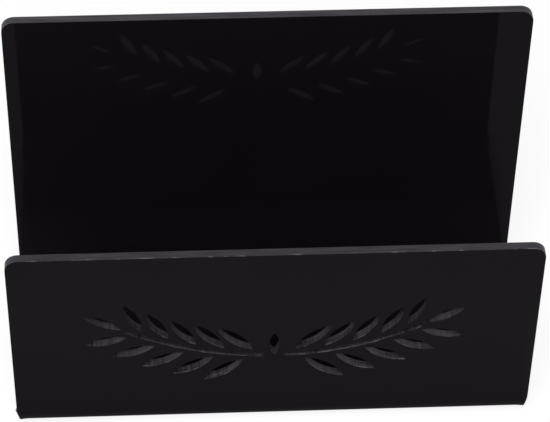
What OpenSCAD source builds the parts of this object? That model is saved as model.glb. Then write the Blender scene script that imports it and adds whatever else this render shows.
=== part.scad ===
// Desk letter holder: one sheet of black acrylic, bent hot along two lines into a low front panel,
// a flat base and a tall back panel, with a leaf spray cut through the front, on four rubber feet.
// Front panel towards -Y, origin on the table under the middle of the holder.

/* [Sheet] */
// Thickness of the sheet
sheet_t = 3.2; // [2:0.1:5]
// Width of the sheet, from one open end to the other
holder_w = 178; // [165:1:260]
// Depth over the outsides of both panels
holder_d = 71.2; // [60:0.2:110]
// Height of the back panel above the underside of the base
back_h = 128; // [90:1:200]
// Height of the front panel above the underside of the base
front_h = 85; // [76:1:120]
// Radius of the rounded top corners of both panels
corner_r = 4.5; // [1:0.5:12]

/* [Bends] */
// Inside radius of both bends
bend_r = 3.3; // [2:0.1:6]
// How far the stretched outer side of a bend draws in at its ends
neck_in = 0.9; // [0.1:0.1:1.5]
// How far the squeezed inner side of a bend stands out at its ends
swell_out = 0.8; // [0.1:0.1:1.2]
// How far both effects reach past the bend into the flat sheet, as far as it was heated
heat_reach = 2.5; // [0.5:0.5:4]

/* [Leaf spray] */
// Length of the largest leaf, at the middle of the panel
leaf_l = 17; // [12:0.5:19]
// Width of the largest leaf
leaf_w = 4.8; // [3:0.1:5.4]
// Angle between a leaf and the stem
leaf_lean = 41; // [36:1:50]
// Distance between neighbouring leaves along the stem
leaf_pitch = 10.2; // [9.8:0.1:10.8]
// Width of the cut that makes a stem
stem_w = 1.8; // [1:0.1:2.6]
// How far each stem rises from the middle to its tip
stem_rise = 15; // [8:0.5:19]
// Height of the lowest point of the stems above the underside of the base
stem_z = 35; // [31:0.5:38]
// Sheet left standing between a leaf and its stem
web = 1.6; // [1.2:0.1:2.2]

/* [Feet] */
// Diameter of a foot
foot_d = 8; // [6:0.5:12]
// Height of a foot
foot_h = 2.2; // [1.5:0.1:4]
// Height of a foot's upright rim, where it is stuck to the base
foot_rim_h = 0.6; // [0.3:0.1:1]
// Diameter of the flat that a foot stands on
foot_pad_d = 4; // [2:0.5:5]
// Distance from an open end of the base to the rim of a foot
foot_end_gap = 8; // [3:0.5:20]
// Distance from the start of a bend to the rim of a foot
foot_bend_gap = 3; // [1:0.5:8]

/* [Hidden] */
$fn = 96;

// How far cutting shapes reach past what they cut
overrun = 1;
half_w = holder_w / 2;
half_d = holder_d / 2;
bend_outer_r = bend_r + sheet_t;
bend_axis_z = foot_h + bend_outer_r;
base_flat_d = holder_d - 2 * bend_outer_r;

// Length of a bend along the middle of the sheet, and steps along the end face of its heated zone
bend_l = (bend_r + sheet_t / 2) * PI / 2;
end_steps = 24;
quarter_turn = 90;

// Pairs of leaves on each stem, and how much smaller the leaf at the tip is than the first
leaf_pairs = 5;
tip_leaf_share = 0.82;
// Where the first pair of leaves springs from the stem, in pitches from the middle of the panel,
// and how much further out the lower leaf of each pair springs
first_leaf_share = 0.42;
lower_leaf_share = 0.3;
// Clear sheet between the middle of the panel and the inner end of a stem
stem_gap = 4.2;
stem_len = leaf_pitch * (first_leaf_share + leaf_pairs - lower_leaf_share);
// The stems follow one circle that touches their lowest point and passes through both tips
stem_arc_r = (pow(stem_len, 2) + pow(stem_rise, 2)) / (2 * stem_rise);
stem_arc_z = foot_h + stem_z + stem_arc_r;
// Small leaf that stands between the two stems
bud_l = 11;
bud_w = 3.6;

foot_r = foot_d / 2;
foot_pad_r = foot_pad_d / 2;
foot_dome_h = foot_h - foot_rim_h;
foot_dome_z = (pow(foot_r, 2) - pow(foot_pad_r, 2) + pow(foot_dome_h, 2)) / (2 * foot_dome_h);
foot_dome_r = sqrt(pow(foot_pad_r, 2) + pow(foot_dome_z, 2));
foot_x = half_w - foot_end_gap - foot_r;
foot_y = base_flat_d / 2 - foot_bend_gap - foot_r;

// Turns a shape drawn in X and Y so that it stands in X and Z and its height runs along +Y
module stand_up() rotate([90, 0, 0]) mirror([0, 0, 1]) children();

// Flat panel with rounded top corners, standing on the line where the heated zone of its bend ends
module panel_outline(h) {
    foot_line = bend_axis_z + heat_reach;
    flat_h = foot_h + h - foot_line;
    translate([0, foot_line]) {
        translate([-half_w, 0]) square([holder_w, flat_h - corner_r]);
        translate([corner_r - half_w, 0]) square([holder_w - 2 * corner_r, flat_h]);
        for (side = [-1, 1])
            translate([side * (half_w - corner_r), flat_h - corner_r]) circle(r = corner_r);
    }
}

// Leaf with two arcs for edges, its base at the origin and its tip along +X
module leaf(l, w) {
    edge_r = (pow(l, 2) + pow(w, 2)) / (4 * w);
    translate([l / 2, 0]) intersection() {
        translate([0, w / 2 - edge_r]) circle(r = edge_r);
        translate([0, edge_r - w / 2]) circle(r = edge_r);
    }
}

// Angle of a place on the stems' circle, from the length of arc between it and the lowest point
function stem_turn(arc_l) = arc_l / stem_arc_r * 180 / PI;

// Moves a shape to a place on the right-hand stem, with +X along the stem
module on_stem(arc_l)
    translate([0, stem_arc_z]) rotate(stem_turn(arc_l)) translate([0, -stem_arc_r]) children();

// Slot that follows the stems' circle, with round ends
module stem(start_l, end_l) {
    reach = 2 * stem_arc_r;
    translate([0, stem_arc_z]) intersection() {
        difference() {
            circle(r = stem_arc_r + stem_w / 2, $fn = 4 * $fn);
            circle(r = stem_arc_r - stem_w / 2, $fn = 4 * $fn);
        }
        polygon([
            [0, 0],
            reach * [sin(stem_turn(start_l)), -cos(stem_turn(start_l))],
            reach * [sin(stem_turn(end_l)), -cos(stem_turn(end_l))]
        ]);
    }
    for (arc_l = [start_l, end_l]) on_stem(arc_l) circle(d = stem_w);
}

// Right-hand branch: its stem, a pair of leaves at each pitch and one leaf past the tip
module branch() {
    stem(stem_gap, stem_len);
    for (i = [0 : leaf_pairs - 1], side = [-1, 1]) {
        size = 1 - (1 - tip_leaf_share) * i / leaf_pairs;
        behind = side < 0 ? lower_leaf_share : 0;
        on_stem(leaf_pitch * (first_leaf_share + i + behind))
            rotate(side * leaf_lean) translate([(stem_w / 2 + web) / sin(leaf_lean), 0])
                leaf(leaf_l * size, leaf_w * size);
    }
    on_stem(stem_len) translate([stem_w / 2 + web, 0])
        leaf(leaf_l * tip_leaf_share, leaf_w * tip_leaf_share);
}

module leaf_spray() {
    branch();
    mirror([1, 0]) branch();
    translate([0, foot_h + stem_z]) rotate(quarter_turn) leaf(bud_l, bud_w);
}

// A place in or beside a bend, from the distance along the middle of the sheet and from the radius.
// The bend turns about the origin, from -Z to +Y
function beside_bend(along, r) =
    let (turn = quarter_turn * min(max(along / bend_l, 0), 1))
        [r * sin(turn) + min(along, 0), max(along - bend_l, 0) - r * cos(turn)];

// How far the end face of a heated zone stands out past the cold ends, in the same measures
function end_shift(along, r) =
    let (from_middle = min(abs(along - bend_l / 2) / (bend_l / 2 + heat_reach), 1))
        pow(cos(quarter_turn * from_middle), 2)
        * (swell_out - (swell_out + neck_in) * (r - bend_r) / sheet_t);

// Solid whose near side is the end face of a heated zone
module end_cutter() {
    near_r = bend_r / 2;
    far_r = bend_outer_r + bend_r / 2;
    far_x = half_w + swell_out + 2 * overrun;
    last = end_steps + 2;
    zone_l = bend_l + 2 * heat_reach;
    corners = [
        for (i = [0 : last], corner = [[near_r, true], [far_r, true], [far_r, false], [near_r, false]])
            let (
                past = i == 0 ? -overrun : i == last ? overrun : 0,
                along = past + zone_l * min(max((i - 1) / end_steps, 0), 1) - heat_reach,
                x = corner[1] ? half_w + end_shift(along, corner[0]) : far_x
            )
                concat(x, beside_bend(along, corner[0]))
    ];
    sides = [
        for (i = [0 : last - 1], j = [0 : 3])
            let (a = 4 * i + j, b = 4 * i + (j + 1) % 4, c = b + 4, d = a + 4)
                each [[a, b, c], [a, c, d]]
    ];
    ends = [[0, 2, 1], [0, 3, 2], [4 * last, 4 * last + 1, 4 * last + 2], [4 * last, 4 * last + 2, 4 * last + 3]];
    polyhedron(points = corners, faces = concat(sides, ends));
}

// Heated zone at the back edge of the base: a quarter ring of sheet with a strip of flat sheet on
// each side, and with its end faces drawn out of line
module back_bend()
    translate([0, half_d - bend_outer_r, bend_axis_z]) difference() {
        blank_w = holder_w + 2 * (swell_out + overrun);
        translate([-blank_w / 2, 0, 0]) rotate([quarter_turn, 0, quarter_turn])
            linear_extrude(height = blank_w) {
                intersection() {
                    difference() {
                        circle(r = bend_outer_r);
                        circle(r = bend_r);
                    }
                    translate([0, -bend_outer_r]) square(bend_outer_r);
                }
                translate([-heat_reach, -bend_outer_r]) square([heat_reach, sheet_t]);
                translate([bend_r, 0]) square([sheet_t, heat_reach]);
            }
        for (side = [0, 1]) mirror([side, 0, 0]) end_cutter();
    }

module base() {
    cold_d = base_flat_d - 2 * heat_reach;
    translate([-half_w, -cold_d / 2, foot_h]) cube([holder_w, cold_d, sheet_t]);
}

module back_panel()
    translate([0, half_d - sheet_t, 0]) stand_up()
        linear_extrude(height = sheet_t) panel_outline(back_h);

module front_panel()
    translate([0, -half_d, 0]) difference() {
        stand_up() linear_extrude(height = sheet_t) panel_outline(front_h);
        translate([0, -overrun, 0]) stand_up()
            linear_extrude(height = sheet_t + 2 * overrun) leaf_spray();
    }

module holder_sheet() color([0.06, 0.05, 0.06]) {
    base();
    back_bend();
    mirror([0, 1, 0]) back_bend();
    back_panel();
    front_panel();
}

// Stick-on foot: an upright rim under the base, and a dome cut flat where it stands
module foot(x_side, y_side) color([0.1, 0.1, 0.11])
    translate([x_side * foot_x, y_side * foot_y, 0]) intersection() {
        cylinder(r = foot_r, h = foot_h);
        translate([0, 0, foot_dome_z]) sphere(r = foot_dome_r);
    }

holder_sheet();
foot(-1, -1);  // foot_front_left
foot(1, -1);  // foot_front_right
foot(-1, 1);  // foot_rear_left
foot(1, 1);  // foot_rear_right
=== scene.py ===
# Studio scene for a desk letter holder bent from one sheet of gloss black acrylic.
# The sheet is drawn flat, as it is cut, and then bent round its two hot lines.
# Lengths are in metres, angles in degrees. A place on the flat sheet is (x, s, n): x across,
# s along the sheet from the top of the front panel, n inward from the outer side.

import math

import bmesh
import bpy
from mathutils import Matrix, Vector


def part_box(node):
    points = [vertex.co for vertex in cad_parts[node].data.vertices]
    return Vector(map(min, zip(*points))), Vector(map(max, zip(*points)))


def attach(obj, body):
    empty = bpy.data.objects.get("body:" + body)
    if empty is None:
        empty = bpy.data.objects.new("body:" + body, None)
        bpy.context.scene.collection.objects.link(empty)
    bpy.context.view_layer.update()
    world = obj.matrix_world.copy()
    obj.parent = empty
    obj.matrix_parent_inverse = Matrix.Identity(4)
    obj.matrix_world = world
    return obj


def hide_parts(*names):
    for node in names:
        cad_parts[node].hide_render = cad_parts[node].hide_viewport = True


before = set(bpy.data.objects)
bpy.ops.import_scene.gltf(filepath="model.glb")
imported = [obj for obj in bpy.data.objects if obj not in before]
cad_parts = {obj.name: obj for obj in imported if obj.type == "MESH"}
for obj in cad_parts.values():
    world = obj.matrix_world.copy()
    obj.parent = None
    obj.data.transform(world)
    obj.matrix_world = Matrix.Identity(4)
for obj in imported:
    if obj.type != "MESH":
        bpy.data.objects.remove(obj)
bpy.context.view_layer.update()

# Sheet
SHEET_LOW, SHEET_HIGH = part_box("holder_sheet")
SHEET_T = 0.0032
HOLDER_W = 0.178
HALF_W = HOLDER_W / 2
HALF_D = (SHEET_HIGH.y - SHEET_LOW.y) / 2
SHEET_Z = SHEET_LOW.z
BACK_H = SHEET_HIGH.z - SHEET_LOW.z
FRONT_H = 0.085
CORNER_R = 0.0045
EDGE_ROUND = 0.0001

# Bends. At the open ends of the sheet the stretched outer side draws in, the squeezed inner side
# stands out, and the bend flares outward. The heat reaches a little past each bend.
BEND_R = 0.0033
BEND_OUTER_R = BEND_R + SHEET_T
NECK_IN = 0.0009
SWELL_OUT = 0.0008
END_LENGTH = 0.009
END_FLARE = 0.0003
FLARE_LENGTH = 0.004
HEAT_REACH = 0.0025

# How many slices the mesh of a bend has, how many the heated sheet on each side of it has, and how
# far from the open ends the slices across them lie
BEND_SLICES = 18
REACH_SLICES = 6
END_SLICES = (0.0005, 0.0011, 0.0018, 0.0027, 0.004, 0.006, 0.009)

# Stretches of the flat sheet, from the top of the front panel
FRONT_FLAT = FRONT_H - BEND_OUTER_R
BEND_LENGTH = math.pi / 2 * (BEND_R + SHEET_T / 2)
BASE_FLAT = 2 * (HALF_D - BEND_OUTER_R)
BACK_FLAT = BACK_H - BEND_OUTER_R
BASE_START = FRONT_FLAT + BEND_LENGTH
BASE_END = BASE_START + BASE_FLAT
BACK_START = BASE_END + BEND_LENGTH
SHEET_LENGTH = BACK_START + BACK_FLAT

# Leaf spray
LEAF_L = 0.017
LEAF_W = 0.0048
LEAF_LEAN = 41
LEAF_PITCH = 0.0102
LEAF_PAIRS = 5
TIP_LEAF_SHARE = 0.82
FIRST_LEAF_SHARE = 0.42
LOWER_LEAF_SHARE = 0.3
STEM_W = 0.0018
STEM_RISE = 0.015
STEM_Z = 0.035
STEM_GAP = 0.0042
WEB = 0.0016
BUD_L = 0.011
BUD_W = 0.0036
STEM_LENGTH = LEAF_PITCH * (FIRST_LEAF_SHARE + LEAF_PAIRS - LOWER_LEAF_SHARE)
STEM_ARC_R = (STEM_LENGTH**2 + STEM_RISE**2) / (2 * STEM_RISE)

# Feet
FOOT_RIM_H = 0.0006
FOOT_PAD_R = 0.002
FOOT_ROUND = 0.00025

# The sheet's materials: their places in its list, the mesh layer that keeps each point's place on
# the flat sheet for them, and how far the normal of an edge or cut wall may lean
POLISHED, OUTER_EDGE, CUT_WALL = range(3)
PLACE_LAYER = "place_on_sheet"
WALL_LEAN = 0.001

# Acrylic: its index of refraction, and the level and tint of the gloss on its faces and its cuts
ACRYLIC_IOR = 1.49
FACE_GLOSS = 0.042
FACE_TINT = (0.82, 0.73, 1)
CUT_GLOSS = 0.2
CUT_TINT = (0.97, 0.91, 1)

# Colours, in linear light. Where there are two, noise blends them.
FACE_BLACKS = ((0.0037, 0.0027, 0.0038), (0.0044, 0.0033, 0.0045))
# Paler black painted low in the slot as fill light
PAINTED_FILL_BLACK = (0.009, 0.0068, 0.0091)
CUT_COLOURS = ((0.004, 0.003, 0.005), (0.0575, 0.0525, 0.0615))
# Bright specks at the cut edges' outer rim: nick marks and painted glints
NICK_AND_GLINT_COLOUR = (0.11, 0.105, 0.12)
RUBBER_BLACKS = ((0.012, 0.012, 0.013), (0.022, 0.022, 0.024))
FLOOR_WHITES = ((0.95, 0.945, 0.95), (0.96, 0.955, 0.96))
FLOOR_SHADE = (0.46, 0.455, 0.46)
CONTACT_SHADE = (0.15, 0.148, 0.15)
FLOOR_GLOW = (1, 0.993, 1)
WHITE = (1, 1, 1)

# Range in which most values of a noise lie
USUAL_NOISE = (0.3, 0.7)

# Distance along the sheet from the base's middle where the slot's painted fill light is full, and
# gone
PAINTED_FILL_FULL = 0.03
PAINTED_FILL_GONE = 0.07

# How pale the cuts are at the top of the front panel, as a share of what they are at the top of
# the back panel: painted shade, darker towards the front panel's top
FRONT_PALENESS = 0.79

# How far from the sheet's outer side the bright specks on its cut edges reach, nick marks and
# painted glints, and how many of those at the top of the front panel there are at the top of the
# back panel, as a share
NICK_GLINT_REACH = 0.0005
BACK_NICK_GLINTS = 0.3

# Camera, fitted to the photograph's edges: its place from the middle of the front panel's outer
# side at the underside of the sheet, how far it looks down, turns and rolls, its lens, and the
# column of the photograph that its axis meets
PHOTO_W = 550
CAMERA_FROM_FRONT = Vector((-0.03843, -0.57351, 0.71427))
CAMERA_DOWN = 46.621
CAMERA_TURN = 2.953
CAMERA_ROLL = -0.709
FOCAL_PX = 2607.6
CENTRE_PX = 250
SENSOR_MM = 36

# Floor: its size, the share of what is seen there that is plain white, with no shadow, and the
# distances past the object's edges over which that share begins, for the eye, and in mirrors past
# the ends and past the long sides. Where it hasn't begun, mirrors see a shaded floor, and a darker
# one up to the last distances past the long sides.
FLOOR_R = 6.0
FLOOR_GLOW_SHARE = 0.85
EYE_FADE = (-0.014, -0.008)
MIRROR_END_FADE = (-0.002, 0.006)
MIRROR_SIDE_FADE = (0, 0.07)
CONTACT_FADE = (-0.001, 0.005)

# Strength of the even light from all sides
WORLD_LIGHT = 0.33


def on_circle(centre, radius, angle):
    """Point of a circle at an angle."""
    turn = math.radians(angle)
    return centre[0] + radius * math.cos(turn), centre[1] + radius * math.sin(turn)


def arc(centre, radius, start, end, steps):
    """Points round a circle, from one angle to another, both included."""
    return [on_circle(centre, radius, start + (end - start) * i / steps) for i in range(steps + 1)]


def turned(points, angle):
    """Points turned about the origin."""
    cosine, sine = math.cos(math.radians(angle)), math.sin(math.radians(angle))
    return [(cosine * x - sine * y, sine * x + cosine * y) for x, y in points]


def moved(points, x, y):
    """Points moved by a distance along each axis."""
    return [(px + x, py + y) for px, py in points]


def sheet_outline():
    """Edge of the flat sheet, with a rounded corner at each end of both panels."""
    far_x, low_s, high_s = HALF_W - CORNER_R, CORNER_R, SHEET_LENGTH - CORNER_R
    steps = 10
    return (
        arc((far_x, high_s), CORNER_R, 0, 90, steps)
        + arc((-far_x, high_s), CORNER_R, 90, 180, steps)
        + arc((-far_x, low_s), CORNER_R, 180, 270, steps)
        + arc((far_x, low_s), CORNER_R, 270, 360, steps)
    )


def leaf(length, width):
    """Edge of a leaf between two arcs, its base at the origin and its tip along +X."""
    steps = 16
    edge_r = (length**2 + width**2) / (4 * width)
    half = math.degrees(math.asin(length / 2 / edge_r))
    upper = arc((length / 2, width / 2 - edge_r), edge_r, 90 - half, 90 + half, steps)
    lower = arc((length / 2, edge_r - width / 2), edge_r, 270 - half, 270 + half, steps)
    return upper[:-1] + lower[:-1]


def stem_turn(arc_length):
    """Angle of a place on the stems' circle, measured from its lowest point."""
    return math.degrees(arc_length / STEM_ARC_R)


def on_stem(points, arc_length):
    """Moves a shape to a place on the right-hand stem, with +X along the stem."""
    shape = turned(moved(points, 0, -STEM_ARC_R), stem_turn(arc_length))
    return moved(shape, 0, STEM_Z + STEM_ARC_R)


def stem():
    """Edge of the slot that follows the stems' circle, with round ends."""
    start, end = stem_turn(STEM_GAP) - 90, stem_turn(STEM_LENGTH) - 90
    half = STEM_W / 2
    steps, cap_steps = 32, 10
    outer = arc((0, 0), STEM_ARC_R + half, start, end, steps)
    inner = arc((0, 0), STEM_ARC_R - half, end, start, steps)
    caps = []
    for turn, first in ((end, end), (start, start + 180)):
        centre = on_circle((0, 0), STEM_ARC_R, turn)
        caps.append(arc(centre, half, first, first + 180, cap_steps)[1:-1])
    return moved(outer + caps[0] + inner + caps[1], 0, STEM_Z + STEM_ARC_R)


def leaf_spray():
    """Edges of every cut in the front panel, in X and height above the underside of the sheet."""
    branch = [stem()]
    reach = (STEM_W / 2 + WEB) / math.sin(math.radians(LEAF_LEAN))
    for i in range(LEAF_PAIRS):
        size = 1 - (1 - TIP_LEAF_SHARE) * i / LEAF_PAIRS
        for side in (-1, 1):
            behind = LOWER_LEAF_SHARE if side < 0 else 0
            shape = turned(moved(leaf(LEAF_L * size, LEAF_W * size), reach, 0), side * LEAF_LEAN)
            branch.append(on_stem(shape, LEAF_PITCH * (FIRST_LEAF_SHARE + i + behind)))
    tip = moved(leaf(LEAF_L * TIP_LEAF_SHARE, LEAF_W * TIP_LEAF_SHARE), STEM_W / 2 + WEB, 0)
    branch.append(on_stem(tip, STEM_LENGTH))
    mirrored = [[(-x, z) for x, z in shape] for shape in branch]
    bud = moved(turned(leaf(BUD_L, BUD_W), 90), 0, STEM_Z)
    return branch + mirrored + [bud]


def add_object(name, data):
    """New object in the scene."""
    obj = bpy.data.objects.new(name, data)
    bpy.context.scene.collection.objects.link(obj)
    return obj


def mesh_object(name, bm):
    """New object in the scene, from a mesh in the making."""
    mesh = bpy.data.meshes.new(name)
    bm.to_mesh(mesh)
    bm.free()
    return add_object(name, mesh)


def flat_sheet():
    """Mesh of the sheet before it is bent: flat, cut through, and with its edges rounded."""
    curve = bpy.data.curves.new("flat_sheet", "CURVE")
    curve.dimensions = "2D"
    curve.fill_mode = "BOTH"
    curve.extrude = SHEET_T / 2 - EDGE_ROUND
    curve.bevel_depth = EDGE_ROUND
    curve.bevel_resolution = 2
    curve.offset = -EDGE_ROUND
    cuts = [[(x, FRONT_H - z) for x, z in shape] for shape in leaf_spray()]
    for outline in [sheet_outline()] + cuts:
        spline = curve.splines.new("POLY")
        spline.points.add(len(outline) - 1)
        for point, (x, s) in zip(spline.points, outline):
            point.co = (x, s, SHEET_T / 2, 1)
        spline.use_cyclic_u = True
    source = add_object("flat_sheet", curve)
    bpy.context.view_layer.update()
    evaluated = source.evaluated_get(bpy.context.evaluated_depsgraph_get())
    mesh = bpy.data.meshes.new_from_object(evaluated)
    bpy.data.objects.remove(source)
    return mesh


def slice_mesh(bm, axis, places, keep=lambda face: True):
    """Cuts new edge lines through a flat mesh, across one axis, in the faces that keep allows."""
    for place in places:
        point = Vector((0, 0, 0))
        point[axis] = place
        normal = Vector((0, 0, 0))
        normal[axis] = 1
        faces = [f for f in bm.faces if keep(f)]
        edges = {e for f in faces for e in f.edges}
        verts = {v for f in faces for v in f.verts}
        parts = list(verts) + list(edges) + faces
        bmesh.ops.bisect_plane(bm, geom=parts, dist=1e-7, plane_co=point, plane_no=normal)


def heat(s):
    """1 in the middle of a bend, falling to 0 where its heated zone ends."""
    from_middle = min(abs(s - start - BEND_LENGTH / 2) for start in (FRONT_FLAT, BASE_END))
    return math.cos(math.pi / 2 * min(from_middle / (BEND_LENGTH / 2 + HEAT_REACH), 1)) ** 2


def near_end(x, length):
    """1 at an open end of the sheet, falling to 0 at a distance from it."""
    return min(max((abs(x) - HALF_W + length) / length, 0), 1) ** 2


def bent(x, s, n):
    """Place in space of a place on the flat sheet, with the squeezed and stretched bend ends."""
    outer_share = 1 - n / SHEET_T
    stretch = SWELL_OUT - (SWELL_OUT + NECK_IN) * outer_share
    flare = END_FLARE * near_end(x, FLARE_LENGTH)
    x += math.copysign(1, x) * heat(s) * stretch * near_end(x, END_LENGTH)
    if s < FRONT_FLAT:
        return Vector((x, n - HALF_D, SHEET_Z + FRONT_H - s))
    if BASE_START < s < BASE_END:
        return Vector((x, s - BASE_START + BEND_OUTER_R - HALF_D, SHEET_Z + n))
    if s > BACK_START:
        return Vector((x, HALF_D - n, SHEET_Z + BEND_OUTER_R + s - BACK_START))
    front = s <= BASE_START
    turn = math.pi / 2 * (s - (FRONT_FLAT if front else BASE_END)) / BEND_LENGTH
    radius = BEND_OUTER_R - n + flare * math.sin(2 * turn) ** 2
    if front:
        across, up = -math.cos(turn), -math.sin(turn)
    else:
        across, up = math.sin(turn), -math.cos(turn)
    centre_y = (BEND_OUTER_R - HALF_D) * (1 if front else -1)
    return Vector((x, centre_y + radius * across, SHEET_Z + BEND_OUTER_R + radius * up))


def finish_normals(obj, sharp_angle):
    """Smooth shading that keeps flat faces flat and edges sharper than an angle sharp."""
    mesh = obj.data
    bm = bmesh.new()
    bm.from_mesh(mesh)
    for face in bm.faces:
        face.smooth = True
    for edge in bm.edges:
        edge.smooth = edge.calc_face_angle(0) < math.radians(sharp_angle)
    bm.to_mesh(mesh)
    bm.free()
    weighted = obj.modifiers.new("flat_faces_first", "WEIGHTED_NORMAL")
    weighted.keep_sharp = True


def slice_heated_zones(bm):
    """Slices the flat sheet where it will bend, and there also near its open ends."""
    beside = [HEAT_REACH * (i + 1) / REACH_SLICES for i in range(REACH_SLICES)]
    for start in (FRONT_FLAT, BASE_END):
        slice_mesh(bm, 1, [start + BEND_LENGTH * i / BEND_SLICES for i in range(BEND_SLICES + 1)])
        slice_mesh(bm, 1, [start - d for d in beside] + [start + BEND_LENGTH + d for d in beside])
    ends = [HALF_W - d for d in END_SLICES]
    slice_mesh(bm, 0, ends + [-x for x in ends], lambda face: heat(face.calc_center_median().y) > 0)


def sheet_material(face):
    """Place in the sheet's list of the material of one face of the flat sheet."""
    if abs(face.normal.z) >= WALL_LEAN:
        return POLISHED
    x, s, _ = face.calc_center_median()
    inside = abs(x) < HALF_W - CORNER_R and CORNER_R < s < SHEET_LENGTH - CORNER_R
    return CUT_WALL if inside else OUTER_EDGE


def holder_sheet():
    """The whole bent sheet: polished faces, its outer edge and the walls of its cuts."""
    mesh = flat_sheet()
    bm = bmesh.new()
    bm.from_mesh(mesh)
    bmesh.ops.remove_doubles(bm, verts=bm.verts, dist=1e-6)
    slice_heated_zones(bm)
    bmesh.ops.recalc_face_normals(bm, faces=bm.faces)
    bm.normal_update()
    for face in bm.faces:
        face.material_index = sheet_material(face)
    place = bm.verts.layers.float_vector.new(PLACE_LAYER)
    for vert in bm.verts:
        vert[place] = vert.co
        vert.co = bent(*vert.co)
    bmesh.ops.recalc_face_normals(bm, faces=bm.faces)
    bm.to_mesh(mesh)
    bm.free()
    obj = add_object("bent_sheet", mesh)
    finish_normals(obj, sharp_angle=35)
    return obj


def foot(node):
    """Stick-on foot with softened edges, turned from a profile, where its CAD node is."""
    low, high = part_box(node)
    centre_x, centre_y = (low.x + high.x) / 2, (low.y + high.y) / 2
    foot_r, foot_h = (high.x - low.x) / 2, high.z
    dome_h = foot_h - FOOT_RIM_H
    dome_z = (foot_r**2 - FOOT_PAD_R**2 + dome_h**2) / (2 * dome_h)
    dome_r = math.hypot(FOOT_PAD_R, dome_z)
    pad_turn = -math.degrees(math.acos(FOOT_PAD_R / dome_r))
    rim_turn = -math.degrees(math.acos(foot_r / dome_r))
    dome = arc((0, dome_z), dome_r, pad_turn, rim_turn, steps=12)
    rim = arc((foot_r - FOOT_ROUND, foot_h - FOOT_ROUND), FOOT_ROUND, 0, 90, steps=4)
    around = 48
    turns = [math.tau * i / around for i in range(around)]
    bm = bmesh.new()
    rings = []
    for radius, z in [(0, 0)] + dome + rim + [(0, foot_h)]:
        ring = [(radius * math.cos(a), radius * math.sin(a)) for a in turns] if radius else [(0, 0)]
        rings.append([bm.verts.new((centre_x + x, centre_y + y, z)) for x, y in ring])
    for lower, upper in zip(rings, rings[1:]):
        for i in range(around):
            j = (i + 1) % around
            places = ((lower, i), (lower, j), (upper, j), (upper, i))
            corners = [ring[k % len(ring)] for ring, k in places]
            bm.faces.new(list(dict.fromkeys(corners)))
    bmesh.ops.recalc_face_normals(bm, faces=bm.faces)
    obj = mesh_object(node + "_rubber", bm)
    finish_normals(obj, sharp_angle=40)
    return obj


def new_material(name):
    """A node material and its parts: tree, shader."""
    material = bpy.data.materials.new(name)
    material.use_nodes = True
    tree = material.node_tree
    return material, tree, tree.nodes["Principled BSDF"]


def place_on_sheet(tree):
    """The place on the flat sheet, as a vector (x, s, n)."""
    attribute = tree.nodes.new("ShaderNodeAttribute")
    attribute.attribute_name = PLACE_LAYER
    return attribute.outputs["Vector"]


def coordinate(tree, vector, axis):
    """One coordinate of a vector."""
    parts = tree.nodes.new("ShaderNodeSeparateXYZ")
    tree.links.new(vector, parts.inputs["Vector"])
    return parts.outputs[axis]


def noise(tree, vector, scale, across=1.0, detail=2.0):
    """Noise with scale cycles per metre in X and Y, and with across times as many in Z."""
    mapping = tree.nodes.new("ShaderNodeMapping")
    mapping.inputs["Scale"].default_value = (scale, scale, scale * across)
    texture = tree.nodes.new("ShaderNodeTexNoise")
    texture.inputs["Scale"].default_value = 1
    texture.inputs["Detail"].default_value = detail
    tree.links.new(vector, mapping.inputs["Vector"])
    tree.links.new(mapping.outputs["Vector"], texture.inputs["Vector"])
    return texture.outputs["Fac"]


def ranged(tree, value, start, end, low=0.0, high=1.0):
    """A value's place between a start and an end, taken to a new range and held inside it."""
    remap = tree.nodes.new("ShaderNodeMapRange")
    remap.inputs["From Min"].default_value = start
    remap.inputs["From Max"].default_value = end
    remap.inputs["To Min"].default_value = low
    remap.inputs["To Max"].default_value = high
    tree.links.new(value, remap.inputs["Value"])
    return remap.outputs["Result"]


def spread(tree, value, low, high):
    """A noise value, stretched from its usual range to a new range."""
    return ranged(tree, value, *USUAL_NOISE, low, high)


def blend_colours(tree, value, first, second):
    """A blend between two colours, of which the first may be a socket."""
    mix = tree.nodes.new("ShaderNodeMix")
    mix.data_type = "RGBA"
    if isinstance(first, bpy.types.NodeSocket):
        tree.links.new(first, mix.inputs["A"])
    else:
        mix.inputs["A"].default_value = (*first, 1)
    mix.inputs["B"].default_value = (*second, 1)
    tree.links.new(value, mix.inputs["Factor"])
    return mix.outputs["Result"]


def calc(tree, operation, first, second=0.0):
    """Result of a sum on one or two sockets or numbers."""
    node = tree.nodes.new("ShaderNodeMath")
    node.operation = operation
    for socket, value in zip(node.inputs, (first, second)):
        if isinstance(value, bpy.types.NodeSocket):
            tree.links.new(value, socket)
        else:
            socket.default_value = value
    return node.outputs["Value"]


def product(tree, *values):
    """Product of sockets and numbers."""
    total = values[0]
    for value in values[1:]:
        total = calc(tree, "MULTIPLY", total, value)
    return total


def bump(tree, value, height):
    """Normal of a surface whose relief follows a value."""
    node = tree.nodes.new("ShaderNodeBump")
    node.inputs["Strength"].default_value = 1
    node.inputs["Distance"].default_value = height
    tree.links.new(value, node.inputs["Height"])
    return node.outputs["Normal"]


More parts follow.
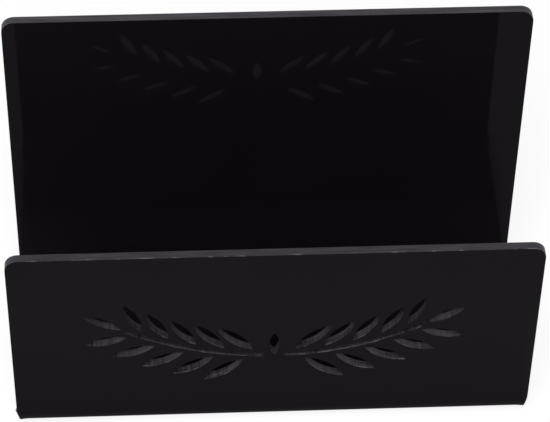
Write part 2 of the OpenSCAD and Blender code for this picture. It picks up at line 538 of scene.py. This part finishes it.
def polished_acrylic():
    """Gloss black sheet: deep black with a trace of violet, faint waves and a fine handling haze.

    Low down in the slot the inner side is painted paler, as fill light.
    """
    material, tree, shader = new_material("polished_acrylic")
    place = place_on_sheet(tree)
    waves = noise(tree, place, scale=40, detail=1)
    haze = noise(tree, place, scale=260, detail=4)
    past_middle = calc(tree, "SUBTRACT", coordinate(tree, place, "Y"), (BASE_START + BASE_END) / 2)
    low_down = ranged(tree, calc(tree, "ABSOLUTE", past_middle), PAINTED_FILL_GONE, PAINTED_FILL_FULL)
    inner_side = ranged(tree, coordinate(tree, place, "Z"), SHEET_T / 2, SHEET_T)
    # Painted fill light: paler black on the inner side of the sheet low in the slot
    painted_fill = product(tree, low_down, inner_side, spread(tree, haze, low=0.7, high=1))
    colour = blend_colours(tree, waves, *FACE_BLACKS)
    colour = blend_colours(tree, painted_fill, colour, PAINTED_FILL_BLACK)
    tree.links.new(colour, shader.inputs["Base Color"])
    tree.links.new(spread(tree, haze, low=0.025, high=0.05), shader.inputs["Roughness"])
    tree.links.new(bump(tree, waves, height=0.00002), shader.inputs["Normal"])
    shader.inputs["IOR"].default_value = ACRYLIC_IOR
    shader.inputs["Specular IOR Level"].default_value = FACE_GLOSS
    shader.inputs["Specular Tint"].default_value = (*FACE_TINT, 1)
    return material


def cut_acrylic(name, lines_share, grain_range):
    """Satin cut edge, with streaks along it, lines across it and bright specks at its outer rim:
    nick marks and painted glints.

    Painted light and shade make it paler towards the top of the back panel, with fewer specks
    there.
    """
    material, tree, shader = new_material(name)
    place = place_on_sheet(tree)
    along = coordinate(tree, place, "Y")
    lines = noise(tree, place, scale=1700, across=0.03)
    streaks = noise(tree, place, scale=60, across=22, detail=3)
    nick_glints = noise(tree, place, scale=220, across=3)
    streaks_part = calc(tree, "MULTIPLY", streaks, 1 - lines_share)
    lines_part = calc(tree, "MULTIPLY", lines, lines_share)
    grain = calc(tree, "ADD", streaks_part, lines_part)
    # Painted shade along the sheet: paler towards the back panel's top, darker towards the front's
    painted_shade_along = ranged(tree, along, 0, SHEET_LENGTH, low=FRONT_PALENESS, high=1)
    pale = product(tree, ranged(tree, grain, *grain_range), painted_shade_along)
    # Bright specks at the outer rim: nick marks and painted glints, fewer towards the back panel
    at_rim = ranged(tree, coordinate(tree, place, "Z"), NICK_GLINT_REACH, NICK_GLINT_REACH / 2)
    nick_glint_share = ranged(tree, along, 0, SHEET_LENGTH, low=1, high=BACK_NICK_GLINTS)
    nick_glint_mask = product(tree, at_rim, nick_glint_share, ranged(tree, nick_glints, start=0.54, end=0.64))
    colour = blend_colours(tree, pale, *CUT_COLOURS)
    colour = blend_colours(tree, nick_glint_mask, colour, NICK_AND_GLINT_COLOUR)
    tree.links.new(colour, shader.inputs["Base Color"])
    tree.links.new(spread(tree, streaks, low=0.4, high=0.6), shader.inputs["Roughness"])
    tree.links.new(bump(tree, lines, height=0.000006), shader.inputs["Normal"])
    shader.inputs["IOR"].default_value = ACRYLIC_IOR
    shader.inputs["Specular IOR Level"].default_value = CUT_GLOSS
    shader.inputs["Specular Tint"].default_value = (*CUT_TINT, 1)
    return material


def rubber():
    """Matt black rubber with a fine grain."""
    material, tree, shader = new_material("foot_rubber")
    place = tree.nodes.new("ShaderNodeTexCoord").outputs["Object"]
    grain = noise(tree, place, scale=2500, detail=3)
    tree.links.new(blend_colours(tree, grain, *RUBBER_BLACKS), shader.inputs["Base Color"])
    tree.links.new(spread(tree, grain, low=0.6, high=0.75), shader.inputs["Roughness"])
    tree.links.new(bump(tree, grain, height=0.00001), shader.inputs["Normal"])
    shader.inputs["IOR"].default_value = 1.5
    return material


def seen_by(tree, *kinds):
    """1 for rays of the named kinds, 0 for the others."""
    path = tree.nodes.new("ShaderNodeLightPath")
    total = path.outputs[kinds[0]]
    for kind in kinds[1:]:
        total = calc(tree, "MAXIMUM", total, path.outputs[kind])
    return total


def mixed(tree, value, first, second):
    """A mix of two shaders."""
    mix = tree.nodes.new("ShaderNodeMixShader")
    tree.links.new(value, mix.inputs["Fac"])
    tree.links.new(first, mix.inputs[1])
    tree.links.new(second, mix.inputs[2])
    return mix.outputs["Shader"]


def beside_object(tree, place, end_fade, side_fade):
    """0 on the floor under the object, rising to 1 past its ends and its long sides."""
    past = []
    for axis, half, fade in (("X", HALF_W, end_fade), ("Y", HALF_D, side_fade)):
        from_middle = calc(tree, "ABSOLUTE", coordinate(tree, place, axis))
        past.append(ranged(tree, calc(tree, "SUBTRACT", from_middle, half), *fade))
    return calc(tree, "MAXIMUM", *past)


def pale_floor():
    """Matt white studio floor, partly lit from within, so that its shadows stay light.

    In mirrors the floor is shaded close to the object's long sides.
    """
    material, tree, shader = new_material("pale_floor")
    place = tree.nodes.new("ShaderNodeTexCoord").outputs["Object"]
    mirrors = seen_by(tree, "Is Glossy Ray", "Is Transmission Ray")
    lit = beside_object(tree, place, MIRROR_END_FADE, MIRROR_SIDE_FADE)
    clear = beside_object(tree, place, MIRROR_END_FADE, CONTACT_FADE)
    colour = blend_colours(tree, noise(tree, place, scale=3), *FLOOR_WHITES)
    for bright, shade in ((lit, FLOOR_SHADE), (clear, CONTACT_SHADE)):
        shaded = product(tree, mirrors, calc(tree, "SUBTRACT", 1, bright))
        colour = blend_colours(tree, shaded, colour, shade)
    tree.links.new(colour, shader.inputs["Base Color"])
    shader.inputs["Roughness"].default_value = 0.9
    shader.inputs["Specular IOR Level"].default_value = 0.1
    glow = tree.nodes.new("ShaderNodeEmission")
    glow.inputs["Color"].default_value = (*FLOOR_GLOW, 1)
    beside = beside_object(tree, place, EYE_FADE, EYE_FADE)
    by_eye = product(tree, seen_by(tree, "Is Camera Ray"), beside)
    in_mirror = product(tree, mirrors, lit)
    share = product(tree, calc(tree, "MAXIMUM", by_eye, in_mirror), FLOOR_GLOW_SHARE)
    surface = mixed(tree, share, shader.outputs["BSDF"], glow.outputs["Emission"])
    tree.links.new(surface, tree.nodes["Material Output"].inputs["Surface"])
    return material


def make_floor():
    """Round floor, far wider than the object."""
    bm = bmesh.new()
    bmesh.ops.create_circle(bm, cap_ends=True, radius=FLOOR_R, segments=96)
    obj = mesh_object("floor", bm)
    obj.data.materials.append(pale_floor())


def make_world():
    """Even pale light from all sides, which the eye and mirrors see as plain white."""
    world = bpy.data.worlds.new("studio")
    world.use_nodes = True
    tree = world.node_tree
    light = tree.nodes["Background"]
    white = tree.nodes.new("ShaderNodeBackground")
    for background, strength in ((light, WORLD_LIGHT), (white, 1)):
        background.inputs["Color"].default_value = (*WHITE, 1)
        background.inputs["Strength"].default_value = strength
    seen = seen_by(tree, "Is Camera Ray", "Is Glossy Ray", "Is Transmission Ray")
    surface = mixed(tree, seen, light.outputs["Background"], white.outputs["Background"])
    tree.links.new(surface, tree.nodes["World Output"].inputs["Surface"])
    bpy.context.scene.world = world


def soft_light(name, place, target, size, power):
    """Square area light that faces a target."""
    light = bpy.data.lights.new(name, "AREA")
    light.size = size
    light.energy = power
    obj = add_object(name, light)
    obj.location = place
    obj.rotation_euler = (Vector(target) - Vector(place)).to_track_quat("-Z", "Y").to_euler()


def make_camera():
    """Camera at the photograph's viewpoint."""
    down, turn, roll = (math.radians(a) for a in (CAMERA_DOWN, CAMERA_TURN, CAMERA_ROLL))
    level_share = math.cos(down)
    forward = Vector((math.sin(turn) * level_share, math.cos(turn) * level_share, -math.sin(down)))
    level_right = Vector((math.cos(turn), -math.sin(turn), 0))
    level_down = forward.cross(level_right)
    right = math.cos(roll) * level_right + math.sin(roll) * level_down
    downward = math.cos(roll) * level_down - math.sin(roll) * level_right
    camera = bpy.data.cameras.new("photo_camera")
    camera.sensor_fit = "HORIZONTAL"
    camera.sensor_width = SENSOR_MM
    camera.lens = FOCAL_PX / PHOTO_W * SENSOR_MM
    camera.shift_x = (PHOTO_W / 2 - CENTRE_PX) / PHOTO_W
    obj = add_object("photo_camera", camera)
    place = CAMERA_FROM_FRONT + Vector((0, -HALF_D, SHEET_Z))
    columns = Matrix((right, -downward, -forward)).transposed()
    obj.matrix_world = Matrix.Translation(place) @ columns.to_4x4()
    bpy.context.scene.camera = obj


make_camera()

sheet = holder_sheet()
for sheet_finish in (
    polished_acrylic(),
    cut_acrylic("scraped_acrylic_edge", lines_share=0.15, grain_range=(0.2, 0.8)),
    cut_acrylic("laser_cut_acrylic", lines_share=0.5, grain_range=(0.36, 0.64)),
):
    sheet.data.materials.append(sheet_finish)
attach(sheet, "root")
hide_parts("holder_sheet")

foot_material = rubber()
for name in ("foot_front_left", "foot_front_right", "foot_rear_left", "foot_rear_right"):
    piece = foot(name)
    piece.data.materials.append(foot_material)
    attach(piece, "root")
    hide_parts(name)

make_floor()
make_world()
soft_light("front_softbox", place=(-0.2, -1.0, 1.45), target=(0, 0, 0.05), size=1.0, power=38)

bpy.context.scene.view_settings.view_transform = "Standard"
